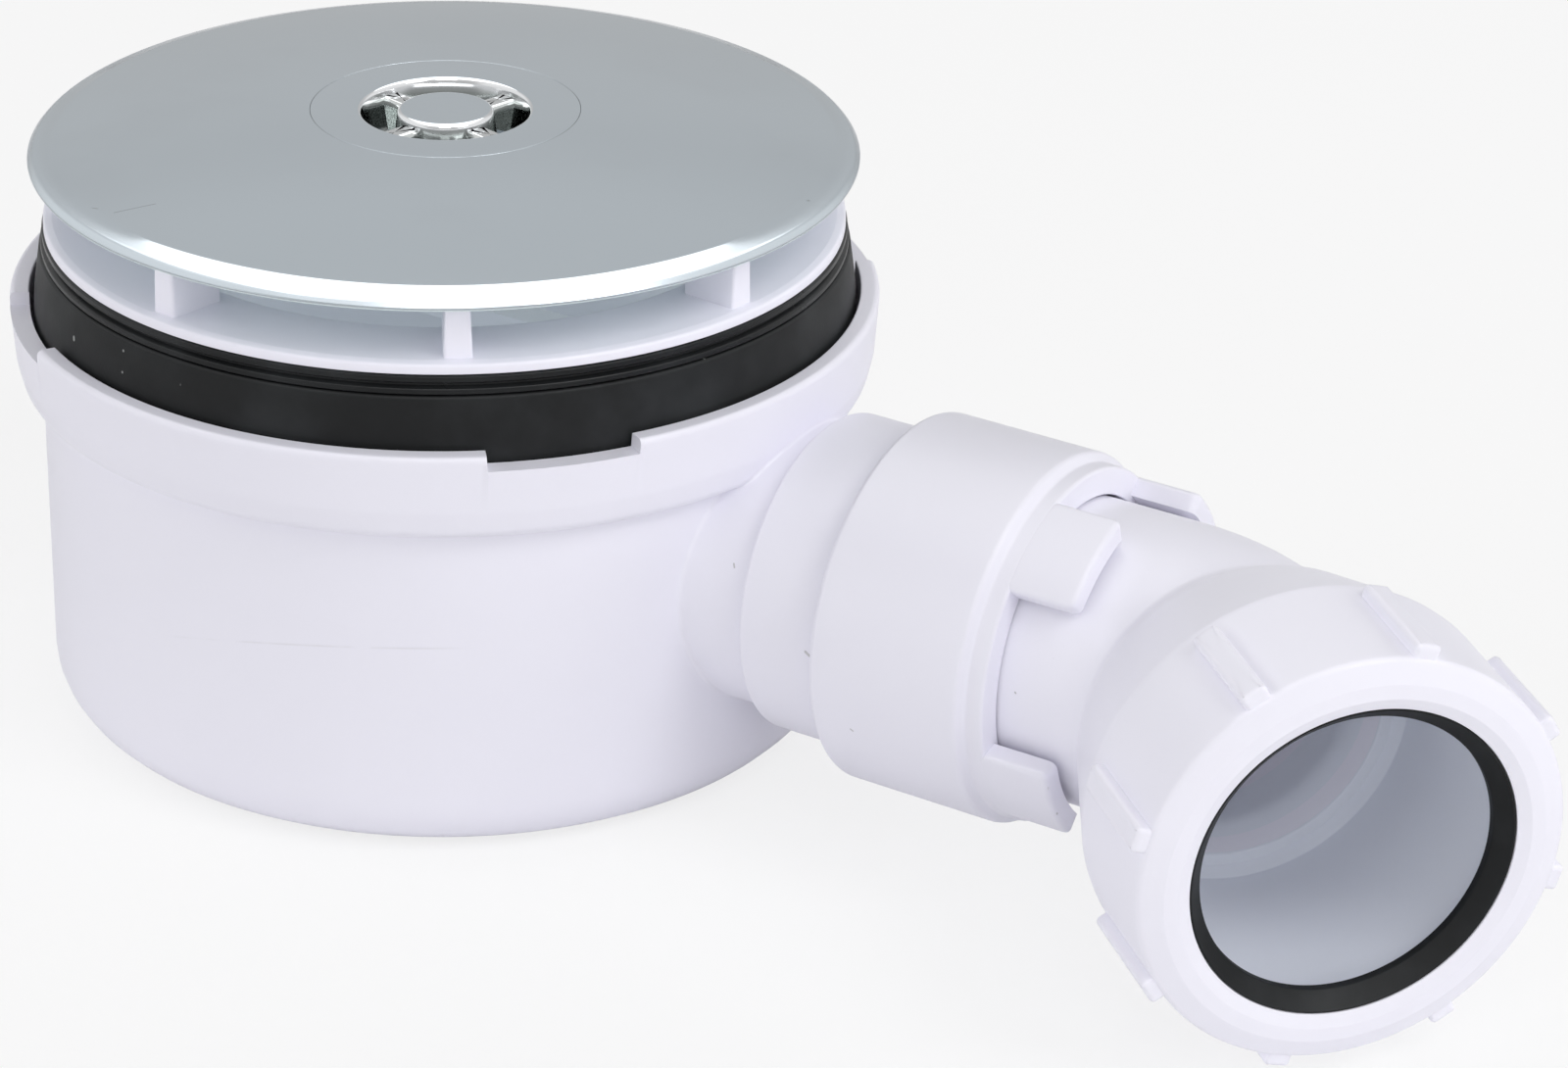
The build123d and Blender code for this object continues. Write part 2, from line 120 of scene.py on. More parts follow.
def framed(points, origin, x_dir, z_dir):
    """Moves points from a piece's own axes to the object's: origin + x * x_dir + y * (z_dir cross
    x_dir) + z * z_dir."""
    x_dir, z_dir = np.array(x_dir, float), np.array(z_dir, float)
    return np.array(origin) + points @ np.stack([x_dir, np.cross(z_dir, x_dir), z_dir])


def pad(width, length, height, corner, edge, side_points=10, corner_points=5, edge_points=5, cap_rows=8):
    """Grid of a rounded block on (u, v, h). Its outline is a rounded rectangle; the rows run from the
    middle of the foot out to the outline, up the side, round the upper edge by the radius edge and in
    to the middle."""
    core_u, core_v = width / 2 - corner, length / 2 - corner
    line, arc = np.linspace(-1, 1, side_points), np.linspace(0, np.pi / 2, corner_points)[1:-1]
    core, normal = [], []
    for k, (cu, cv) in enumerate([(1, -1), (1, 1), (-1, 1), (-1, -1)]):
        along_v = k % 2 == 0
        step = line * (1 if k < 2 else -1) * (1 if along_v else -1)
        fixed = np.full_like(step, cu if along_v else cv if k == 1 else -1.0)
        core.append(np.stack([fixed, step] if along_v else [step, fixed], -1) * [core_u, core_v])
        tilt = k * np.pi / 2
        normal.append(np.tile([math.cos(tilt), math.sin(tilt)], (side_points, 1)))
        core.append(np.tile(core[-1][-1], (len(arc), 1)))
        normal.append(np.stack([np.cos(tilt + arc), np.sin(tilt + arc)], -1))
    core, normal = np.concatenate(core), np.concatenate(normal)
    turn = np.linspace(0, np.pi / 2, edge_points)
    side_top = max(height - 1.3 * edge, 0.5 * height)
    inset = np.concatenate([[0, 0], edge * (1 - np.cos(turn)), np.full(cap_rows, edge)])
    rise = np.concatenate([[0, side_top], height - edge * (1 - np.sin(turn)), np.full(cap_rows, height)])
    shrink = np.concatenate([[1, 1], np.ones(edge_points), np.linspace(0.97, 0, cap_rows)])
    rows = (core + normal * (corner - inset[:, None, None])) * shrink[:, None, None]
    grid = np.concatenate([rows, np.broadcast_to(rise[:, None, None], rows.shape[:2] + (1,))], -1)
    return np.concatenate([np.zeros_like(grid[:1]), grid])


def strip_faces(rows, columns, wrap_rows, first):
    """Corner numbers of the quads between neighbouring rows of a grid whose columns run round and
    close."""
    i = np.arange(rows if wrap_rows else rows - 1)[:, None]
    j = np.arange(columns)
    i_next, j_next = (i + 1) % rows, (j + 1) % columns
    corners = [i * columns + j, i * columns + j_next, i_next * columns + j_next, i_next * columns + j]
    return first + np.stack(np.broadcast_arrays(*corners), -1).reshape(-1, 4)


def mesh_of(name, *surfaces, sharp=34):
    """One mesh from grids in millimetres; a grid given as a pair (grid, True) also closes from its last
    row to its first. Points that fall together at a pole or a seam are merged."""
    points, faces, first = [], [], 0
    for surface in surfaces:
        grid, wrap_rows = surface if isinstance(surface, tuple) else (surface, False)
        points.append(grid.reshape(-1, 3))
        faces.append(strip_faces(grid.shape[0], grid.shape[1], wrap_rows, first))
        first += len(points[-1])
    points, faces = np.concatenate(points) * mm, np.concatenate(faces)
    mesh = bpy.data.meshes.new(name)
    mesh.vertices.add(len(points))
    mesh.vertices.foreach_set("co", points.astype(np.float32).ravel())
    mesh.loops.add(faces.size)
    mesh.loops.foreach_set("vertex_index", faces.astype(np.int32).ravel())
    mesh.polygons.add(len(faces))
    mesh.polygons.foreach_set("loop_start", np.arange(0, faces.size, 4, dtype=np.int32))
    mesh.update(calc_edges=True)
    work = bmesh.new()
    work.from_mesh(mesh)
    bmesh.ops.remove_doubles(work, verts=work.verts, dist=1e-7)
    bmesh.ops.dissolve_degenerate(work, edges=work.edges, dist=1e-8)
    work.to_mesh(mesh)
    work.free()
    mesh.polygons.foreach_set("use_smooth", np.ones(len(mesh.polygons), bool))
    mesh.set_sharp_from_angle(angle=math.radians(sharp))
    return mesh


def show(mesh, node, body, finish):
    """Puts a mesh on its body in place of the frame's node, with its finish."""
    piece = bpy.data.objects.new(mesh.name, mesh)
    bpy.context.scene.collection.objects.link(piece)
    mesh.materials.append(finish)
    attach(piece, body)
    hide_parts(node)
    print(mesh.name, "has", len(mesh.polygons), "faces")


print("a pad of 4 by 8 by 2 has the grid", pad(4, 8, 2, 0.5, 0.3).shape)

# %% [markdown]
# ## Shader sums written as sums
# A finish is a handful of patterns added, multiplied and compared. Wiring Math nodes by hand hides the
# sum, so a small class holds an output socket and turns Python's operators into Math nodes. A second
# class is the sheet that the nodes stand on, with one method that adds any node.

# %% Wires and finishes
class Wire:
    """A value in a node sheet. An expression on wires adds the Math nodes that work it out."""

    def __init__(self, sheet, socket):
        self.sheet, self.socket = sheet, socket

    def math(self, operation, *others):
        """A Math node on this value and others."""
        values = dict(enumerate((self, *others)))
        return self.sheet.add("ShaderNodeMath", {"operation": operation}, values)

    def __add__(self, other):
        return self.math("ADD", other)

    __radd__ = __add__

    def __sub__(self, other):
        return self.math("SUBTRACT", other)

    def __rsub__(self, other):
        return self.sheet.add("ShaderNodeMath", {"operation": "SUBTRACT"}, {0: other, 1: self})

    def __mul__(self, other):
        return self.math("MULTIPLY", other)

    __rmul__ = __mul__

    def __gt__(self, other):
        return self.math("GREATER_THAN", other)

    def __lt__(self, other):
        return self.math("LESS_THAN", other)

    def __abs__(self):
        return self.math("ABSOLUTE")

    def ramp(self, start, end):
        """0 at start, 1 at end and a smooth step between."""
        return self.sheet.add("ShaderNodeMapRange", {"interpolation_type": "SMOOTHSTEP"},
                              {"Value": self, "From Min": start, "From Max": end})


class Sheet:
    """The nodes of a material or of the world."""

    def __init__(self, tree):
        self.tree = tree
        tree.nodes.clear()

    def add(self, kind, settings=None, inputs=None, outputs=0):
        """Adds a node: its settings are set first, then its sockets get values or wires."""
        node = self.tree.nodes.new(kind)
        for key, value in (settings or {}).items():
            setattr(node, key, value)
        for key, value in (inputs or {}).items():
            if isinstance(value, Wire):
                self.tree.links.new(value.socket, node.inputs[key])
            else:
                node.inputs[key].default_value = value
        if isinstance(outputs, tuple):
            return [Wire(self, node.outputs[name]) for name in outputs]
        return Wire(self, node.outputs[outputs]) if node.outputs else None


class Finish(Sheet):
    """A material and the sheet of nodes that makes it."""

    def __init__(self, name):
        self.material = bpy.data.materials.new(name)
        self.material.use_nodes = True
        super().__init__(self.material.node_tree)

    def place(self):
        """The point on the piece, in the object's own axes and in metres."""
        return self.add("ShaderNodeTexCoord", outputs="Object")

    def noise(self, where, scale, detail):
        """A soft random pattern between 0 and 1."""
        keys = {"Vector": where, "Scale": scale, "Detail": detail}
        return self.add("ShaderNodeTexNoise", {}, keys, "Fac")

    def mix(self, share, first, second):
        """Colour between two others."""
        keys = {"Factor": share, 6: first, 7: second}
        return self.add("ShaderNodeMix", {"data_type": "RGBA"}, keys, 2)

    def vector(self, operation, first, second, output="Vector"):
        """A Vector Math node on two vectors."""
        return self.add("ShaderNodeVectorMath", {"operation": operation}, {0: first, 1: second}, output)

    def stroke(self, where, start, end, width):
        """Mask of a short stroke from one point to another, all in millimetres: 1 within half the width
        of the nearest point of the line between them, fading to 0 at the width."""
        first, second = np.array(start) * mm, np.array(end) * mm
        line = second - first
        offset = self.vector("SUBTRACT", where, first.tolist())
        share = self.vector("DOT_PRODUCT", offset, (line / (line @ line)).tolist(), "Value")
        share = share.math("MAXIMUM", 0.0).math("MINIMUM", 1.0)
        keys = {0: line.tolist(), "Scale": share}
        nearest = self.add("ShaderNodeVectorMath", {"operation": "SCALE"}, keys, "Vector")
        return self.vector("DISTANCE", offset, nearest, "Value").ramp(width * mm, width * mm / 2)

    def strokes(self, where, marks):
        """The strongest of several strokes at each point; a mark gives a start, an end and a width."""
        strongest, *others = [self.stroke(where, *mark) for mark in marks]
        for mask in others:
            strongest = strongest.math("MAXIMUM", mask)
        return strongest

    def specks(self, where, scale, size, share):
        """Mask of small round specks: one in each chosen cell of a Voronoi pattern."""
        keys = {"Vector": where, "Scale": scale}
        near, tint = self.add("ShaderNodeTexVoronoi", {}, keys, ("Distance", "Color"))
        chance = self.add("ShaderNodeSeparateColor", {}, {"Color": tint}, "Red")
        return near.ramp(size, size * 0.6) * (chance < share)

    def surface(self, values, bump=None, bump_height=1e-5):
        """Ends the sheet: one shader with these values, and a bump of this height in metres."""
        if bump is not None:
            keys = {"Height": bump, "Distance": bump_height, "Strength": 1.0}
            values = {**values, "Normal": self.add("ShaderNodeBump", {}, keys, "Normal")}
        shader = self.add("ShaderNodeBsdfPrincipled", {}, values, "BSDF")
        self.add("ShaderNodeOutputMaterial", {}, {"Surface": shader})
        return self.material


print("shader helpers are ready")

# %% [markdown]
# ## White plastic
# The cup, the nuts and the elbow are moulded in white plastic with a cool cast and a half gloss. Up close
# such a moulding isn't even: its sheen drifts over a few centimetres, the surface carries the grain of the
# mould, and a piece that has lain in a box has a few dark flecks. The flecks that show are strokes at
# their own places. A faint flow line, where two fronts of plastic met, runs across the cup in a slow
# curve. Some copies of the white also carry painted light: the flange's copy is made lighter, it and the
# dip tube's copy give a faint painted glow inside the mouth, and the elbow's inside is painted a cooler
# shade.

# %% The white finish
WHITE = (0.88, 0.87, 0.955, 1)
WHITE_SHADE = (0.84, 0.83, 0.92, 1)
# A painted cool shade for the elbow's inside.
HOLLOW_PAINTED_SHADE = (0.855, 0.885, 0.965, 1)
GRIME = (0.36, 0.35, 0.335, 1)
BLACK = (0, 0, 0, 1)
# Colour of a painted glow that brightens the dark inside of the mouth under the flange.
PAINTED_GLOW = (0.088, 0.102, 0.100, 1)
FLECKS = [
    ((59.4, -18.4, 40.5), (59.6, -18.6, 40.1), 0.17),
    ((72.9, -21.9, 33.0), (73.5, -21.9, 32.6), 0.26),
    ((81.3, -24.0, 25.1), (81.6, -23.9, 24.9), 0.17),
    ((102.9, -19.8, 35.2), (103.0, -19.8, 35.1), 0.16),
    ((109.8, -22.3, 24.6), (109.8, -22.2, 24.2), 0.24),
    ((109.8, -19.6, 19.7), (109.8, -19.5, 19.5), 0.22),
    ((109.8, 10.6, 52.1), (109.8, 10.7, 51.8), 0.40)]
# The flow line's sizes are in metres, those of the glow in millimetres.
FLOW_TOP, FLOW_MIDDLE, FLOW_BEND = 0.0315, 0.033, 3.4
glow_r, glow_top, glow_full = 42.4, 71.9, 70.9


def flow_line(finish, place):
    """Mask of the flow line on the cup's front: the height FLOW_TOP less FLOW_BEND times the square of
    the distance along x from FLOW_MIDDLE, broken up by noise and faded out at both ends."""
    x, y, z = finish.add("ShaderNodeSeparateXYZ", {}, {"Vector": place}, ("X", "Y", "Z"))
    along = FLOW_MIDDLE - x
    off = abs(z - (FLOW_TOP - FLOW_BEND * along * along))
    ends = along.ramp(-0.003, 0.004) * along.ramp(0.040, 0.034) * (y < -0.03)
    return off.ramp(0.00022, 0.00004) * ends * finish.noise(place, scale=160, detail=3).ramp(0.35, 0.62)


def white_plastic(name, tone=1.0, roughness=0.34, hollow=None, painted_glow_at=None):
    """Half-gloss white with slow drifts of tone, a mould's grain, specks, the named flecks and the flow
    line. A hollow is a function that gives the mask of an inside, which is painted a cooler shade, and a
    second mask function gives where a faint painted glow stands in for light inside the mouth. Tone scales
    the whole colour."""
    finish = Finish(name)
    place = finish.place()
    drift = finish.noise(place, scale=28, detail=3).ramp(0.35, 0.75) * 0.35
    bright, shade = [(*(min(1, value * tone) for value in colour[:3]), 1)
                     for colour in (WHITE, WHITE_SHADE)]
    dirt = finish.specks(place, scale=75, size=0.016, share=0.07) * 0.4 + flow_line(finish, place) * 0.16
    dirt = dirt.math("MAXIMUM", finish.strokes(place, FLECKS) * 0.6)
    colour = finish.mix(drift, bright, shade)
    # Painted shade: the inside given by the hollow mask is painted a cooler white.
    if hollow is not None:
        colour = finish.mix(hollow(finish, place), colour, HOLLOW_PAINTED_SHADE)
    colour = finish.mix(dirt, colour, GRIME)
    gloss = roughness + (finish.noise(place, scale=60, detail=3) - 0.5) * 0.12
    sockets = {"Base Color": colour, "Roughness": gloss, "IOR": 1.49}
    # Painted glow: a faint emission in the dark inside of the mouth stands in for light there.
    if painted_glow_at is not None:
        sockets["Emission Color"] = finish.mix(painted_glow_at(finish, place), BLACK, PAINTED_GLOW)
        sockets["Emission Strength"] = 1.0
    return finish.surface(sockets, bump=finish.noise(place, scale=2600, detail=2), bump_height=4e-6)


def below_floor(finish, place):
    """Mask of what lies under the flange's floor, inside its mouth, where the painted glow goes."""
    x, y, z = finish.add("ShaderNodeSeparateXYZ", {}, {"Vector": place}, ("X", "Y", "Z"))
    return (x * x + y * y < (glow_r * mm) ** 2) * z.ramp(glow_top * mm, glow_full * mm)


white = white_plastic("white_plastic")
# The flange's copy is lighter by its tone, painted light for its slots under the cover, and it and the dip
# tube's copy carry the painted glow inside the mouth.
flange_white_painted_light = white_plastic("flange_white_plastic_painted_light", tone=1.04, painted_glow_at=below_floor)
inner_white_painted_glow = white_plastic("inner_white_plastic_painted_glow", painted_glow_at=below_floor)
outlet_white = white_plastic("outlet_white_plastic", tone=1.05)
print("white finishes", white.name, flange_white_painted_light.name, inner_white_painted_glow.name, "with", len(FLECKS), "flecks")

# %% [markdown]
# ## Chrome plate
# The cover and its centre are plastic with a bright chrome plate. Chrome gives back a little over half of
# the light and leans to blue, so it shows a pale room as a mid grey. Fine hairlines from wiping and a
# faint waviness keep it from looking like a perfect mirror, and near the edge there are two scratches and
# a spot. The plate is laid on from above, so the underside stays bare and pale. In the grille the walls
# get a greyer chrome colour and the rolled lips a brighter one, a painted highlight.

# %% The chrome finish
cover_r, cover_top, cover_under, crown = 56.5, 81.5, 79.4, 3.7
slope_r, insert_r, hole_r = cover_r - 3.5, 18.3, 11.6
CHROME = (0.53, 0.583, 0.625, 1)
CHROME_DULL = (0.46, 0.50, 0.535, 1)
CHROME_PAINTED_HIGHLIGHT = (0.68, 0.69, 0.70, 1)
CHROME_WALL = (0.50, 0.52, 0.515, 1)
UNDERSIDE = (0.78, 0.88, 0.88, 1)
SCRATCH = (0.26, 0.28, 0.29, 1)
SCRATCHES = [
    ((-17.96, -48.4, 81.71), (-14.4, -44.39, 82.44), 0.12),
    ((-23.7, -48.5, 81.5), (-20.8, -48.32, 81.56), 0.10),
    ((52.8, 8.2, 81.1), (52.9, 8.5, 81.1), 0.35)]


def chrome_plate(name, bare_below=0.0, bright_within=0.0, roughness=0.07):
    """Bright plate with wiping hairlines in the gloss and a slow waviness in the bump, and bare plastic
    below one height in millimetres. Within a radius of the axis, what lies under the top gets a greyer
    chrome colour on the walls and a painted highlight, a brighter colour, on the rolled lip. Heights leave
    the crown out."""
    finish = Finish(name)
    place = finish.place()
    x, y, z = finish.add("ShaderNodeSeparateXYZ", {}, {"Vector": place}, ("X", "Y", "Z"))
    stretched = finish.add("ShaderNodeMapping", {},
                           {"Vector": place, "Rotation": (0, 0, 0.6), "Scale": (1, 14, 1)})
    hairs = finish.noise(stretched, scale=240, detail=4).ramp(0.58, 0.78)
    haze = finish.noise(place, scale=45, detail=4).ramp(0.45, 0.8)
    scratched = finish.strokes(place, SCRATCHES)
    away = x * x + y * y
    level = z - away.ramp((slope_r * mm) ** 2, (insert_r * mm) ** 2) * (crown * mm)
    rim = away.ramp(((slope_r + 0.4) * mm) ** 2, ((slope_r + 2.4) * mm) ** 2)
    under_top = level.ramp((cover_top - 0.02) * mm, (cover_top - 0.12) * mm)
    grille = (away < (bright_within * mm) ** 2) * under_top
    rolled = level.ramp((cover_top - 1.5) * mm, (cover_top - 1.0) * mm)
    bare = level < bare_below * mm
    colour = finish.mix(haze * 0.25, CHROME, CHROME_DULL)
    # Painted highlight: the rolled lips in the grille get a brighter chrome colour.
    colour = finish.mix(grille, colour, finish.mix(rolled, CHROME_WALL, CHROME_PAINTED_HIGHLIGHT))
    colour = finish.mix(scratched * 0.55, colour, SCRATCH)
    colour = finish.mix(bare, colour, UNDERSIDE)
    gloss = roughness + hairs * 0.05 + haze * 0.04 + rim * 0.14 + bare * 0.3
    sockets = {"Base Color": colour, "Metallic": 1 - bare, "Roughness": gloss}
    return finish.surface(sockets, bump=finish.noise(place, scale=70, detail=1), bump_height=1.5e-5)


cover_chrome = chrome_plate("cover_chrome", bare_below=cover_under + 0.2)
grille_chrome = chrome_plate("grille_chrome", bright_within=hole_r + 0.8)
print("chrome finishes", cover_chrome.name, grille_chrome.name)

# %% [markdown]
# ## Black rubber
# The seals are black rubber. It is nearly matt, shows a grey bloom where it has been handled, and
# collects pale dust.

# %% The rubber finish
RUBBER = (0.009, 0.0098, 0.0105, 1)
BLOOM = (0.022, 0.024, 0.026, 1)
DUST = (0.42, 0.43, 0.43, 1)
LINT = [
    ((-24.0, -50.6, 63.3), (-23.9, -50.6, 63.0), 0.30),
    ((-11.3, -54.8, 60.8), (-10.9, -54.9, 60.7), 0.26),
    ((-1.8, -56.0, 64.4), (-1.8, -56.0, 64.1), 0.24),
    ((30.8, -46.8, 60.7), (31.1, -46.6, 60.4), 0.28)]


def black_rubber(name, roughness, dust_share):
    """Matt black with a grey bloom, fine grain, specks of dust in two sizes and a few bits of lint."""
    finish = Finish(name)
    place = finish.place()
    bloom = finish.noise(place, scale=55, detail=4).ramp(0.42, 0.72)
    coarse = finish.specks(place, scale=210, size=0.07, share=dust_share)
    fine = finish.specks(place, scale=480, size=0.11, share=dust_share * 0.7)
    dust = coarse + fine * 0.6
    dust = dust.math("MAXIMUM", finish.strokes(place, LINT) * 0.8)
    colour = finish.mix(bloom, RUBBER, BLOOM)
    colour = finish.mix(dust, colour, DUST)
    gloss = roughness + (finish.noise(place, scale=130, detail=3) - 0.5) * 0.2
    sockets = {"Base Color": colour, "Roughness": gloss, "IOR": 1.4, "Specular IOR Level": 0.32}
    return finish.surface(sockets, bump=finish.noise(place, scale=3200, detail=3), bump_height=1.2e-5)


matt_rubber = black_rubber("matt_rubber", roughness=0.55, dust_share=0.05)
sleek_rubber = black_rubber("sleek_rubber", roughness=0.30, dust_share=0.02)
print("rubber finishes", matt_rubber.name, sleek_rubber.name)

# %% [markdown]
# ## The chrome cover
# The cover is a thin plate that lies on the flange's ribs. Its top is crowned, so that its middle
# stands a few millimetres above the rim, and it falls away over the last few millimetres into a soft
# edge, which is where it mirrors the lamps. The crown is a shallow bowl upside down: its rise goes with
# the square of the radius. Four tabs under the plate keep it central.

# %% Cover plate
insert_skirt_r, insert_seat = 16.6, 1.4
rib_first, rib_count = -52.4, 8
step_r, step = 41.5, 1.7
tab_middle_r, tab_count = 43.3, 4
crown_top, crown_under = cover_top + crown, cover_under + crown


def crowned(r):
    """Height of the crown's top at a radius: it rises from the slope to the insert with the square of
    the radius."""
    return cover_top + crown * (slope_r ** 2 - r ** 2) / (slope_r ** 2 - insert_r ** 2)


crown_line = [(r, crowned(r)) for r in np.linspace(slope_r - 2.0, insert_r + 0.3, 24)]
plate_profile = rounded([
    (insert_skirt_r + 0.3, crown_under), (step_r - step, cover_under + step), (step_r, cover_under),
    (cover_r - 0.25, cover_under, 0.1), (cover_r - 0.02, cover_under + 0.35, 0.3),
    (cover_r - 0.75, cover_top - 0.9, 1.3), (slope_r, cover_top, 4.0), *crown_line,
    (insert_r + 0.05, crown_top, 0.03), (insert_r + 0.05, crown_top - insert_seat),
    (insert_skirt_r + 0.3, crown_top - insert_seat)])
plate_surface = turned(plate_profile, around(360))


def on_flange(block, middle_r, angle, foot_z, taper=0.0):
    """Stands a pad on the flange: u runs across, v outward from middle_r, h up; taper narrows u with
    height."""
    u, v, h = np.moveaxis(block, -1, 0)
    t = math.radians(angle)
    across, out = u * (1 - taper * np.abs(h) / np.ptp(h)), middle_r + v
    x = out * math.cos(t) + across * math.sin(t)
    y = out * math.sin(t) - across * math.cos(t)
    return np.stack([x, y, foot_z + h], -1)


tab = pad(width=6.1, length=1.8, height=2.9, corner=0.3, edge=0.1) * [1, 1, -1]
tabs = [on_flange(tab, tab_middle_r, rib_first + 90 * k, cover_under + 0.5)[:, ::-1]
        for k in range(tab_count)]
cover_mesh = mesh_of("cover_plate_chrome", (plate_surface, True), *tabs)
show(cover_mesh, "cover_plate", "waste", cover_chrome)

# %% [markdown]
# ## The centre grille
# Let into the middle of the cover is a chrome ring with a rolled lip, four spokes and a button. Only a
# hairline shows where ring and cover meet, so the ring is made flush and the hairline is the gap
# between the two roundings. The walls of the openings lean a little, so that the moulding leaves its
# tool, and the lean lets them mirror the room.

# %% Cover insert
button_r, spoke_first, spoke_count = 6.5, -13, 4
insert_bottom, draft = crown_under - 3.6, 1.4
ring_profile = rounded([
    (hole_r - draft, insert_bottom), (insert_skirt_r, insert_bottom),
    (insert_skirt_r, crown_top - insert_seat), (insert_r, crown_top - insert_seat),
    (insert_r, crown_top, 0.03), (hole_r, crown_top, 0.65)])
button_profile = rounded([
    (0, insert_bottom), (button_r + draft / 2, insert_bottom), (button_r, crown_top, 0.8), (0, crown_top)])
spoke = pad(width=3.4, length=hole_r - button_r + 3.0, height=4.5, corner=0.2, edge=0.8)
spokes = [on_flange(spoke, (hole_r + button_r) / 2, spoke_first + 90 * k, insert_bottom)
          for k in range(spoke_count)]
button = turned(button_profile, around(96))
insert_mesh = mesh_of("cover_insert_chrome", (turned(ring_profile), True), button, *spokes)
show(insert_mesh, "cover_insert", "waste", grille_chrome)

# %% [markdown]
# ## The waste flange
# Under the cover a white flange carries eight upright ribs, and water runs between them into the tail.
# The flange is turned, and the ribs are pads that stand on it.

# %% Waste flange
flange_under, flange_top, flange_r = 70.0, 71.3, 54.7
tail_r, tail_bore_r, tail_ledge_r = 43.9, 41.6, 34.8
tail_bottom, tail_ledge = 52.6, 54.6
rib_middle_r, rib_foot, rib_taper = 48.75, 70.3, 0.18
flange_profile = rounded([
    (tail_ledge_r, tail_bottom), (tail_r, tail_bottom, 0.5), (tail_r, flange_under),
    (flange_r, flange_under, 0.1), (flange_r, flange_top, 0.5), (flange_r - 1.2, flange_top + 0.25, 0.5),
    (tail_bore_r, flange_top, 1.2), (tail_bore_r, tail_ledge), (tail_ledge_r, tail_ledge)])
rib = pad(width=3.9, length=8.5, height=cover_under - rib_foot, corner=0.45, edge=0.05)
ribs = [on_flange(rib, rib_middle_r, rib_first + 45 * k, rib_foot, rib_taper) for k in range(rib_count)]
flange_mesh = mesh_of("waste_flange_white", (turned(flange_profile), True), *ribs)
show(flange_mesh, "waste_flange", "waste", flange_white_painted_light)

# %% [markdown]
# ## The two black seals
# A thin washer with two lips lies under the flange, and a deep rubber skirt stands in the collar below
# it. Between them they grip the tray. The lips of the washer are what draws the fine bright lines round
# the black band.

# %% Flange seal and tray seal
seal_low, ring_floor, recess_r, collar_top = 67.2, 54.5, 57.0, 60.5
skirt_bore_r = 47.15
washer_profile = rounded([
    (tail_r + 0.3, seal_low), (flange_r - 0.25, seal_low), (flange_r + 0.5, seal_low + 0.25, 0.2),
    (flange_r + 0.5, seal_low + 0.95, 0.25), (flange_r - 0.25, seal_low + 1.28),
    (flange_r - 0.25, seal_low + 1.5), (flange_r + 0.25, seal_low + 1.85, 0.2),
    (flange_r + 0.25, flange_under - 0.25, 0.15), (flange_r - 0.25, flange_under),
    (tail_r + 0.3, flange_under)])
skirt_profile = rounded([
    (skirt_bore_r, ring_floor), (recess_r - 0.4, ring_floor), (recess_r - 0.65, collar_top),
    (recess_r - 1.6, seal_low, 0.5), (skirt_bore_r, seal_low, 0.5)])
washer_mesh = mesh_of("flange_seal_rubber", (turned(washer_profile), True))
show(washer_mesh, "flange_seal", "waste", sleek_rubber)
skirt_mesh = mesh_of("tray_seal_rubber", (turned(skirt_profile), True))
show(skirt_mesh, "tray_seal", "trap", matt_rubber)

# %% [markdown]
# ## The trap body
# The cup, its collar, the outlet neck and the socket are one moulding. The cup is turned, and its
# collar has four shallow notches: inside a notch every point above the notch's floor is lowered onto
# it. The neck grows out of the cup's side. A plain tube would meet the cup in a hard line, so the
# neck's foot follows the cup's own surface and flares onto it in a small fillet.

# %% Cup with notched collar
body_r, cup_r, collar_r, outlet_z = 55.7, 53.1, 59.7, 32.9
collar_bottom, ledge_z, floor_z = 47.6, 52.0, 2.6
notch_first, notch_width, notch_depth = -39.3, 19.6, 1.9
cup_profile = rounded([
    (0, 0), (body_r, 0, 7.9), (body_r, collar_bottom), (body_r + 2.7, collar_bottom + 1.3, 2.2),
    (collar_r - 0.5, collar_bottom + 4.8, 4.0), (collar_r, collar_top, 0.8), (recess_r, collar_top, 0.25),
    (recess_r, ledge_z), (cup_r, ledge_z), (cup_r, floor_z, 5.3), (0, floor_z)])
notch_middles = np.radians(notch_first + 90 * np.arange(4))
notch_half = math.radians(notch_width / 2)
edge_step = math.radians(0.06)
edges = np.concatenate([notch_middles + side * notch_half + shift for side in (-1, 1)
                        for shift in (-edge_step, edge_step)])
cup_angles = np.sort(np.concatenate([around(360), edges % (2 * np.pi)]))
cup_surface = turned(cup_profile, cup_angles)
gap = np.abs((cup_angles[:, None] - notch_middles + np.pi) % (2 * np.pi) - np.pi).min(1)
lid = np.where(gap < notch_half, collar_top - notch_depth, collar_top)
cup_surface[..., 2] = np.minimum(cup_surface[..., 2], lid)
print("cup rows and columns", cup_surface.shape[:2])

# %% Neck, socket and weir
OUTLET = dict(origin=(0, 0, outlet_z), x_dir=(0, 0, 1), z_dir=(1, 0, 0))
neck_r, outlet_bore_r, socket_r, thread_r = 19.9, 17.2, 21.9, 22.4
neck_start, socket_start, nut_left, socket_end = 56.9, 62.0, 75.2, 90.0
foot_fillet, foot_sink = 0.5, 1.3
outer_r = np.maximum.accumulate(cup_profile[:np.argmax(cup_profile[:, 1] > collar_top - 0.5), 0])
outer_z = cup_profile[:len(outer_r), 1]


def cup_wall_x(angle, r, shift=0.0):
    """Where the point at this angle and radius about the outlet axis meets the cup's outside, along the
    axis: the square root of R(z) squared less y squared, R(z) being the cup's outer profile."""
    z, y = outlet_z + r * np.cos(angle), r * np.sin(angle)
    wall = np.interp(z, outer_z, outer_r) - shift
    return np.sqrt(np.maximum(wall ** 2 - y ** 2, 0))


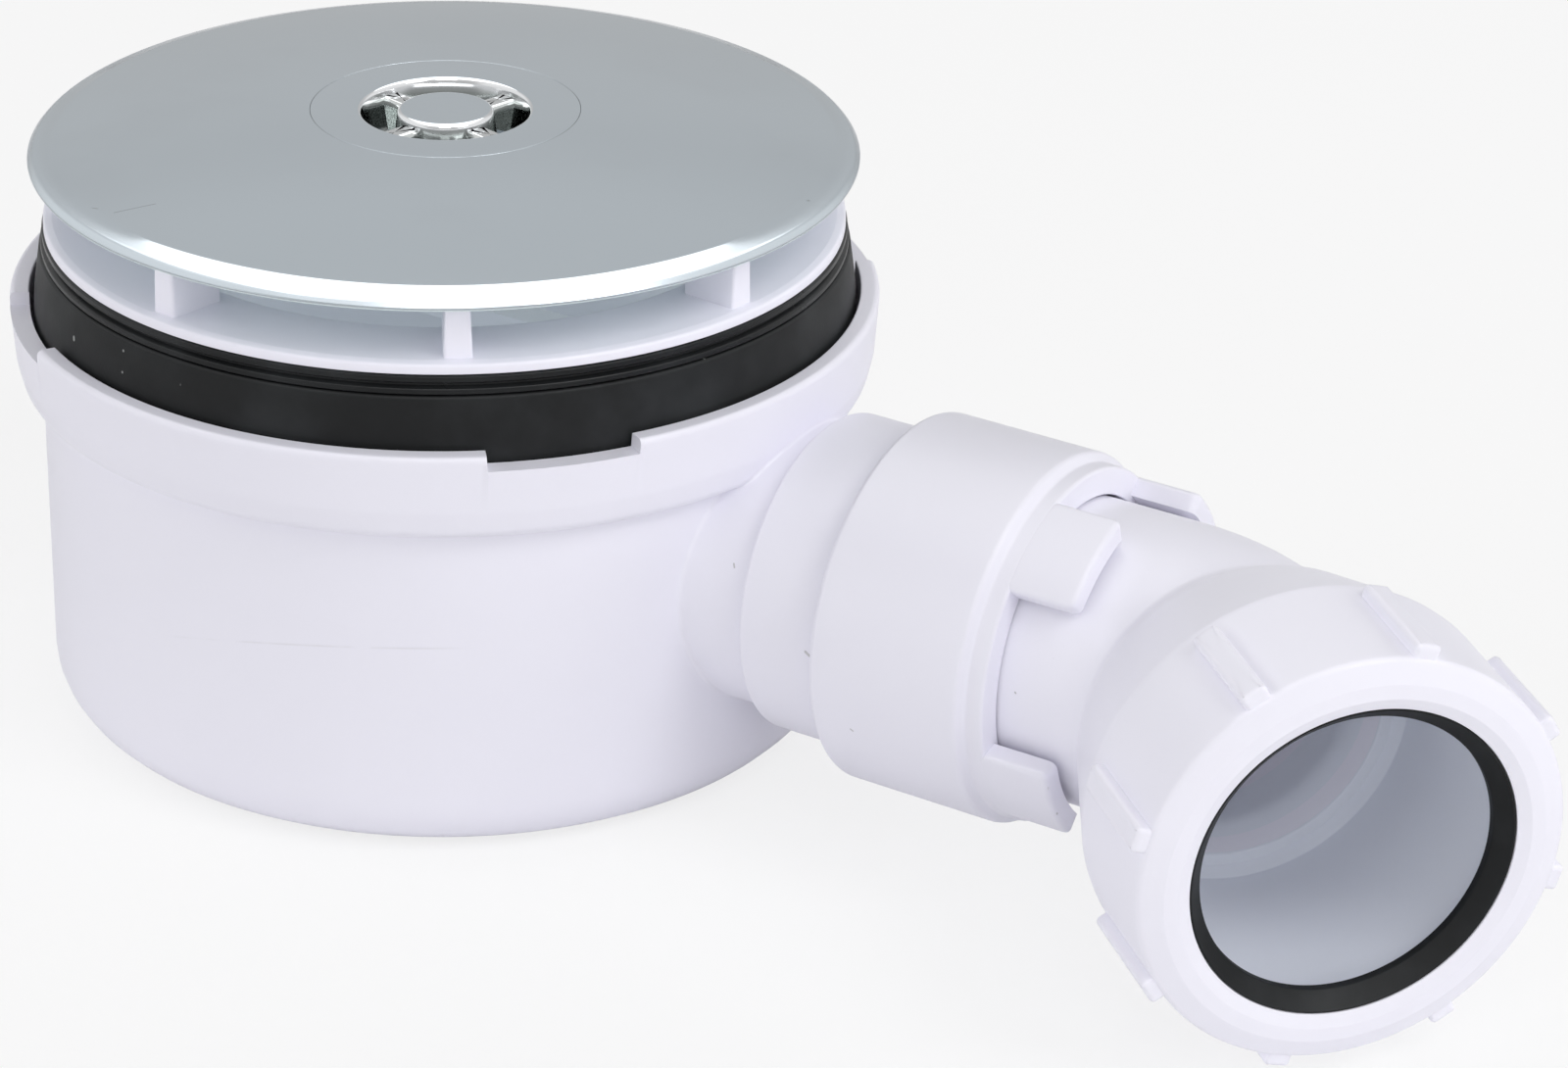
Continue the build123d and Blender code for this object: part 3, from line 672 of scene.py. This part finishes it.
neck_angles = around()
fillet_turn = np.linspace(0, np.pi / 2, 7)
foot_r = neck_r + foot_fillet * (1 - np.sin(fillet_turn))
foot_lift = foot_fillet * (1 - np.cos(fillet_turn))
foot_x = np.stack([cup_wall_x(neck_angles, r) + lift for r, lift in zip(foot_r, foot_lift)])
socket_profile = rounded([
    (neck_r, neck_start), (neck_r, socket_start, 0.2), (socket_r, socket_start + 0.6, 0.5),
    (socket_r, nut_left + 1.0), (thread_r, nut_left + 1.5), (thread_r, socket_end - 0.5),
    (socket_r, socket_end), (outlet_bore_r, socket_end), (outlet_bore_r, neck_start - 2.9)])
rows_r = np.concatenate([[outlet_bore_r, foot_r[0]], foot_r, socket_profile[:, 0]])
deep = np.stack([cup_wall_x(neck_angles, r, foot_sink) for r in (outlet_bore_r, foot_r[0])])
rows_x = np.concatenate([deep, foot_x, np.repeat(socket_profile[:, 1:], len(neck_angles), 1)])
rows_x[-1] = deep[0] + 0.5
rows_r = rows_r[:, None]
neck_surface = np.stack([rows_r * np.cos(neck_angles), rows_r * np.sin(neck_angles), rows_x], -1)
weir_low, weir_high, weir_round = 2.2, 44.0, 5.7
weir_front, weir_back = 38.5, 41.0
weir_x = [weir_front, weir_back, weir_back, weir_front]
weir_z = np.concatenate([weir_low + weir_round * (1 - np.cos(np.linspace(0, np.pi / 2, 8))), [weir_high]])
below_round = np.maximum(weir_low + weir_round - weir_z, 0)
weir_r = cup_r + 0.4 - weir_round + np.sqrt(weir_round ** 2 - below_round ** 2)
weir_y = np.sqrt(weir_r ** 2 - weir_back ** 2)[:, None] * [-1, -1, 1, 1]
weir = np.stack(np.broadcast_arrays(weir_x, weir_y, weir_z[:, None]), -1)
weir_foot, weir_cap = [np.broadcast_to(weir[i].mean(0), (1, 4, 3)) for i in (0, -1)]
weir = np.concatenate([weir_foot, weir, weir_cap])
body_mesh = mesh_of("trap_body_white", cup_surface, (framed(neck_surface, **OUTLET), True), weir)
show(body_mesh, "trap_body", "trap", white)

# %% [markdown]
# ## The swivel nut
# The nut that holds the elbow is a smooth barrel with four lugs for a grip. The barrel is turned about
# the outlet axis; each lug is a pad that is worked out flat and then bent round that axis.

# %% Swivel nut
nut_r, lug_r, lug_in_r, nut_bore_r = 25.2, 24.0, 21.2, 22.75
nut_barrel, nut_notch, nut_end, nut_lip = 97.2, 100.6, 109.8, 95.5
elbow_r = 19.9
barrel_profile = rounded([
    (socket_r + 0.35, nut_left), (nut_r, nut_left, 0.8), (nut_r, nut_barrel, 1.0),
    (lug_r, nut_barrel + 1.0, 0.5), (lug_r, nut_notch, 0.5), (elbow_r + 0.35, nut_notch, 0.2),
    (elbow_r + 0.35, nut_lip), (nut_bore_r, nut_lip), (nut_bore_r, nut_left + 2.0),
    (socket_r + 0.35, nut_left + 1.0)])


def on_barrel(block, foot_r, angle, middle, roll_r):
    """Bends a pad round an axis: u becomes an angle on the radius roll_r, v runs along the axis, h
    stands outward."""
    u, v, h = np.moveaxis(block, -1, 0)
    t = math.radians(angle) + u / roll_r
    return np.stack([(foot_r + h) * np.cos(t), (foot_r + h) * np.sin(t), middle + v], -1)


lug_width, lug_first, lug_count = math.radians(35) * lug_r, 57.5, 4
lug_root = nut_notch - 0.9
lug_middle = (nut_end + lug_root) / 2
lug = pad(width=lug_width, length=nut_end - lug_root, height=lug_r - lug_in_r, corner=1.1, edge=0.7,
          side_points=16)
lugs = [on_barrel(lug, lug_in_r, 90 - lug_first + 90 * k, lug_middle, lug_r) for k in range(lug_count)]
barrel, *lugs = [framed(surface, **OUTLET) for surface in (turned(barrel_profile), *lugs)]
nut_mesh = mesh_of("swivel_nut_white", (barrel, True), *lugs)
show(nut_mesh, "swivel_nut", "swivel_nut", white)

# %% [markdown]
# ## The elbow
# The elbow is a pipe that turns by forty degrees and swells into a bell: a steep foot, then a flatter
# cone. Joining two solids would leave an uneven seam, so the surface is found by feel: from points
# along the bend's middle line, rays go out in every direction across it, and each stops where pipe and
# bell both end. Where the two meet, the distances are mixed over less than a millimetre, which leaves
# the crease that the mould leaves.

# %% The elbow's middle line
bend_x, bend_angle, elbow_turn = 121.4, math.radians(39.6), math.radians(3.9)
corner = np.array([bend_x, 0, outlet_z])
inlet_dir = np.array([1.0, 0, 0])
bend_dir = np.array([0, -math.cos(elbow_turn), -math.sin(elbow_turn)])
side_dir = np.cross(inlet_dir, bend_dir)
arm_dir = math.cos(bend_angle) * inlet_dir + math.sin(bend_angle) * bend_dir
arm_across = math.cos(bend_angle) * bend_dir - math.sin(bend_angle) * inlet_dir


def fan(radius, rows):
    """Middle line of the bend: an arc of this radius that touches both axes, with the direction to its
    centre."""
    turn = np.linspace(0, bend_angle, rows)[:, None]
    pivot = corner - inlet_dir * radius * math.tan(bend_angle / 2) + bend_dir * radius
    inward = np.cos(turn) * bend_dir - np.sin(turn) * inlet_dir
    return pivot - inward * radius, inward


def run(start, end, rows, axis, inward):
    """Middle line along a straight stretch from the corner, from one distance to another."""
    centres = corner + np.linspace(start, end, rows)[:, None] * axis
    return centres, np.tile(inward, (rows, 1))


print("the arm points along", arm_dir.round(4))

# %% Rays to the elbow's skin
shoulder_r, shoulder_end, spigot_r, spigot_end = 27.8, 25.2, 25.3, 38.6
elbow_bore_r, pipe_socket_r, seat_r, pipe_stop = 17.0, 21.7, 20.6, 10.0
stop_edge_r, cone_start = 19.0, 5.5
pipe_bend, bore_bend, crease = 22.0, 20.0, 0.8
# Each straight line of the bell: its radius, the place along the arm that has it, and its slope.
BELL_FOOT, BELL_CONE = (18.0, 2.0, 0.657), (22.6, 9.0, 0.342)
ray_start, ray_end, halvings = 4.0, 48.0, 42


def near_both(first, second, width):
    """The smaller of two distances, rounded over where they are within a width of each other."""
    overlap = np.maximum(width - np.abs(first - second), 0) / width
    return np.minimum(first, second) - overlap ** 2 * width / 4


def bent_tube(points, radius, bend_radius):
    """Distance outside a tube that runs in along the inlet, round an arc of the bend radius and out
    along the arm. The angle about the arc's centre tells which of the three stretches is nearest."""
    local = points - corner
    reach = bend_radius * math.tan(bend_angle / 2)
    along, inward, side = local @ inlet_dir + reach, local @ bend_dir, local @ side_dir
    turn = np.arctan2(along, bend_radius - inward)
    arc = np.hypot(np.hypot(along, bend_radius - inward) - bend_radius, side)
    arm = np.linalg.norm(local - (local @ arm_dir)[..., None] * arm_dir, axis=-1)
    return np.where(turn < 0, np.hypot(inward, side), np.where(turn > bend_angle, arm, arc)) - radius


def outside(points):
    """Distance outside the elbow: the bent pipe or the bell, whichever is nearer. The bell's radius is
    the smaller of two straight lines along the arm, the foot's and the cone's."""
    local = points - corner
    along = local @ arm_dir
    foot, cone = [radius + slope * (along - spot) for radius, spot, slope in (BELL_FOOT, BELL_CONE)]
    bell = np.linalg.norm(local - along[..., None] * arm_dir, axis=-1) - near_both(foot, cone, 0.35)
    return near_both(bent_tube(points, elbow_r, pipe_bend), bell, crease)


def inside_bore(points):
    """Distance outside the bore: a tube that bends a little tighter than the pipe, or the cone that
    opens it toward the stop for the waste pipe."""
    local = points - corner
    along = local @ arm_dir
    cone_r = elbow_bore_r + (stop_edge_r - elbow_bore_r) * (along - cone_start) / (pipe_stop - cone_start)
    cone = np.linalg.norm(local - along[..., None] * arm_dir, axis=-1) - cone_r
    return np.minimum(bent_tube(points, elbow_bore_r, bore_bend), np.where(along > cone_start, cone, 1.0))


def skin(line, distance, columns=COLUMNS):
    """Grid of the points where rays across the middle line leave a shape, found by halving an
    interval."""
    centres, inward = line
    along = np.cross(inward, side_dir)
    t = around(columns)[:, None]
    rays = inward[:, None] * np.cos(t) + np.cross(along, inward)[:, None] * np.sin(t)
    low, high = np.full(rays.shape[:2], ray_start), np.full(rays.shape[:2], ray_end)
    for _ in range(halvings):
        middle = (low + high) / 2
        within = distance(centres[:, None] + rays * middle[..., None]) < 0
        low, high = np.where(within, middle, low), np.where(within, high, middle)
    return centres[:, None] + rays * low[..., None]


def rings(profile, axis, inward):
    """Grid of a profile (r, distance from the corner) about one of the elbow's two axes."""
    return framed(turned(profile), corner, inward, axis)


outer_line_r, inner_line_r = 33.0, 24.0
outer_reach = outer_line_r * math.tan(bend_angle / 2)
swivel_r, swivel_start, swivel_end = 22.4, 92.3 - bend_x, 95.1 - bend_x
inlet_end = rounded([
    (elbow_bore_r, swivel_start), (swivel_r, swivel_start), (swivel_r, swivel_end), (elbow_r, swivel_end)])
arm_end = rounded([
    (shoulder_r + 0.1, shoulder_end - 0.7), (shoulder_r, shoulder_end + 0.2, 0.1),
    (spigot_r, shoulder_end + 0.2),
    (spigot_r, spigot_end - 0.8), (spigot_r - 0.8, spigot_end), (pipe_socket_r, spigot_end, 0.3),
    (pipe_socket_r, pipe_stop + 1.5, 0.3), (seat_r, pipe_stop), (stop_edge_r, pipe_stop, 0.3),
    (stop_edge_r - 0.24, pipe_stop - 0.54)])
elbow_surface = np.concatenate([
    rings(inlet_end, inlet_dir, bend_dir),
    skin(run(swivel_end + 1, -outer_reach - 0.3, 8, inlet_dir, bend_dir), outside),
    skin(fan(outer_line_r, 96), outside),
    skin(run(outer_reach + 0.3, shoulder_end - 1.0, 22, arm_dir, arm_across), outside),
    rings(arm_end, arm_dir, arm_across),
    skin(tuple(part[::-1] for part in fan(inner_line_r, 24)), inside_bore)])


def elbow_hollow(finish, place):
    """Mask of the elbow's inside, which is painted a cooler shade: nearer to the arm's axis than the pipe
    socket's wall, or short of the stop nearer than the bore's."""
    from_corner = finish.vector("SUBTRACT", place, (corner * mm).tolist())
    along = finish.vector("DOT_PRODUCT", from_corner, arm_dir.tolist(), "Value")
    off_axis = finish.add("ShaderNodeVectorMath", {"operation": "LENGTH"},
                          {0: finish.vector("CROSS_PRODUCT", from_corner, arm_dir.tolist())}, "Value")
    beyond_stop = along > (pipe_stop - 0.3) * mm
    bore_wall, socket_wall = (elbow_bore_r + 0.9) * mm, (pipe_socket_r + 0.5) * mm
    wall = bore_wall + beyond_stop * (socket_wall - bore_wall)
    return (off_axis < wall) * (along > 0.0)


elbow_white = white_plastic("elbow_white_plastic_painted_inner_shade", tone=1.05, hollow=elbow_hollow)
show(mesh_of("elbow_white", (elbow_surface, True)), "elbow", "elbow", elbow_white)

# %% [markdown]
# ## The outlet nut and its seal
# The compression nut is a short barrel with eight narrow grip ribs and a broad face. Inside its mouth
# sits a black seal whose cone shows as a dark ring.

# %% Outlet nut
outlet_nut_r, outlet_start, outlet_end, mouth_r = 28.1, 25.6, 44.5, 21.5
outlet_wall = 40.6
grip_first, grip_count, grip_middle, grip_roll_r = 62.3, 8, 35.1, 30.0
outlet_profile = rounded([
    (spigot_r + 0.35, outlet_start), (outlet_nut_r, outlet_start, 0.08),
    (outlet_nut_r, outlet_end - 1.3, 1.0),
    (outlet_nut_r - 3.0, outlet_end - 0.1, 0.5), (mouth_r + 1.7, outlet_end, 0.4),
    (mouth_r, outlet_end - 0.7, 0.2), (mouth_r, outlet_wall), (spigot_r + 0.35, outlet_wall)])
grip = pad(width=3.6, length=15.8, height=2.2, corner=0.6, edge=0.7, side_points=12)
UPRIGHT = dict(origin=corner, x_dir=-side_dir, z_dir=arm_dir)
grips = [on_barrel(grip, outlet_nut_r - 0.5, 90 - grip_first + 45 * k, grip_middle, grip_roll_r)
         for k in range(grip_count)]
outlet_barrel, *grips = [framed(surface, **UPRIGHT) for surface in (turned(outlet_profile), *grips)]
outlet_mesh = mesh_of("outlet_nut_white", (outlet_barrel, True), *grips)
show(outlet_mesh, "outlet_nut", "outlet_nut", outlet_white)

# %% Outlet seal
lip_r, lip_front, lip_back = 19.3, 41.6, 40.5
seal_front = outlet_end - 0.8
seal_profile = rounded([
    (pipe_socket_r - 0.3, spigot_end), (spigot_r - 0.3, spigot_end), (spigot_r - 0.3, outlet_wall),
    (mouth_r - 0.1, outlet_wall), (mouth_r - 0.1, seal_front, 0.08), (mouth_r - 0.3, seal_front, 0.08),
    (lip_r, lip_front, 0.4), (lip_r, lip_back, 0.3), (lip_r + 1.6, lip_back - 0.9)])
seal_mesh = mesh_of("outlet_seal_rubber", (framed(turned(seal_profile), **UPRIGHT), True))
show(seal_mesh, "outlet_seal", "elbow", matt_rubber)

# %% [markdown]
# ## Pieces that stay as the frame has them
# The thread ring, the dip tube and two seals sit inside. Their shapes are right already, so they only
# get a finish.

# %% Finish the inner pieces
# The dip tube's finish carries the painted glow inside the mouth.
inner_finishes = {"thread_ring": white, "dip_tube": inner_white_painted_glow, "dip_ring": matt_rubber,
                  "swivel_seal": matt_rubber}
for name, finish in inner_finishes.items():
    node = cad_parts[name]
    if not node.material_slots:
        node.data.materials.append(None)
    for holder in node.material_slots:
        holder.material = finish
    print(name, "keeps its mesh of", len(node.data.polygons), "faces")

# %% [markdown]
# ## Floor, light and camera
# The floor is white paper that keeps a faint shadow. The room is a light tent: a bright band stands
# round the trap at the height of a hand lamp, a soft patch hangs above, and five soft lamps give the
# forms their shade. The chrome mirrors pale walls that brighten upward and to both sides, so that its
# crowned face is grey and its rolled edge white. One sky could serve both, but a mirror shows the tent
# and a matt side only sums it, so the two kinds of rays get a sky each.

# %% Floor
floor_mesh = bpy.data.meshes.new("studio_floor")
floor_half, floor_drop, floor_glow = 6.0, 0.0004, 0.75
floor_corners = [(x * floor_half, y * floor_half, 0) for x, y in ((-1, -1), (1, -1), (1, 1), (-1, 1))]
floor_mesh.from_pydata(floor_corners, [], [(0, 1, 2, 3)])
floor = bpy.data.objects.new("studio_floor", floor_mesh)
floor.location.z = -floor_drop
bpy.context.scene.collection.objects.link(floor)
floor_finish = Finish("floor_paper")
seen_floor = floor_finish.add("ShaderNodeLightPath", outputs="Is Camera Ray")
paper = floor_finish.add("ShaderNodeBsdfDiffuse", {}, {"Color": (0.95, 0.95, 0.955, 1)})
glow = floor_finish.add("ShaderNodeEmission", {}, {"Color": (1, 1, 1, 1), "Strength": 1.0})
lit_paper = floor_finish.add("ShaderNodeMixShader", {}, {0: seen_floor * floor_glow, 1: paper, 2: glow})
floor_finish.add("ShaderNodeOutputMaterial", {}, {"Surface": lit_paper})
floor_mesh.materials.append(floor_finish.material)
print("floor", floor_half * 2, "m wide")

# %% Room and lamps
middle = Vector((0.05, 0, 0.03))
view_angle = math.radians(-58.2)
world = bpy.data.worlds.new("studio")
bpy.context.scene.world = world
world.use_nodes = True
room = Sheet(world.node_tree)
seen, mirrored = room.add("ShaderNodeLightPath", outputs=("Is Camera Ray", "Is Glossy Ray"))
toward = room.add("ShaderNodeTexCoord", outputs="Generated")
east, north, height = room.add("ShaderNodeSeparateXYZ", {}, {"Vector": toward}, ("X", "Y", "Z"))
aside = east * -math.sin(view_angle) + north * math.cos(view_angle)
walls = (0.60 + 0.08 * height.ramp(0.05, 0.36) + 0.06 * height.ramp(0.40, 0.56)
         + 0.5 * height.ramp(0.64, 0.85) + 0.4 * (aside * aside).ramp(0.2, 0.6))
tent = 1.48 * height.ramp(-0.06, 0.30) * height.ramp(0.58, 0.46) + 0.55 * height.ramp(0.80, 0.94)
level = tent + mirrored * (walls - tent)
light = room.add("ShaderNodeBackground", {}, {"Color": (1, 1, 1, 1), "Strength": level})
backdrop = room.add("ShaderNodeBackground", {}, {"Color": (1, 1, 1, 1), "Strength": 1.0})
both = room.add("ShaderNodeMixShader", {}, {0: seen, 1: light, 2: backdrop})
room.add("ShaderNodeOutputWorld", {}, {"Surface": both})


def lamp(name, turn, rise, size, power, distance=1.5):
    """A square soft lamp that looks at the trap: turn is its angle to the right of the camera, rise its
    angle up."""
    t, e = view_angle + math.radians(turn), math.radians(rise)
    data = bpy.data.lights.new(name, "AREA")
    data.size, data.energy = size, power
    holder = bpy.data.objects.new(name, data)
    direction = Vector((math.cos(t) * math.cos(e), math.sin(t) * math.cos(e), math.sin(e)))
    holder.location = middle + distance * direction
    holder.rotation_mode = "QUATERNION"
    holder.rotation_quaternion = (middle - holder.location).to_track_quat("-Z", "Y")
    bpy.context.scene.collection.objects.link(holder)
    print(name, power, "W at", [round(value, 2) for value in holder.location])
    return holder


lamp("front_lamp", turn=0, rise=48, size=0.6, power=2.4)
lamp("right_lamp", turn=50, rise=48, size=0.6, power=5.3)
left_wall = lamp("left_wall_lamp", turn=-100, rise=18, size=0.6, power=2.4)
right_wall = lamp("right_wall_lamp", turn=100, rise=18, size=0.6, power=1.5)
for holder in (left_wall, right_wall):
    holder.visible_glossy = False
ceiling = lamp("ceiling_panel", turn=180, rise=80, size=2.0, power=21.0)
ceiling.visible_diffuse = False

# %% Camera
camera_data = bpy.data.cameras.new("camera")
camera_data.lens, camera_data.sensor_width = 110.0, 36.0
camera = bpy.data.objects.new("camera", camera_data)
camera.location = (0.3609, -0.4926, 0.3190)
aim = Vector((0.04018, 0.02490, 0.02213))
look = (aim - camera.location).to_track_quat("-Z", "Y")
camera.rotation_mode = "QUATERNION"
camera_roll = math.radians(1.378)
camera.rotation_quaternion = look @ Matrix.Rotation(camera_roll, 3, "Z").to_quaternion()
bpy.context.scene.collection.objects.link(camera)
bpy.context.scene.camera = camera
bpy.context.scene.view_settings.view_transform = "Standard"
print("camera at", list(camera.location))
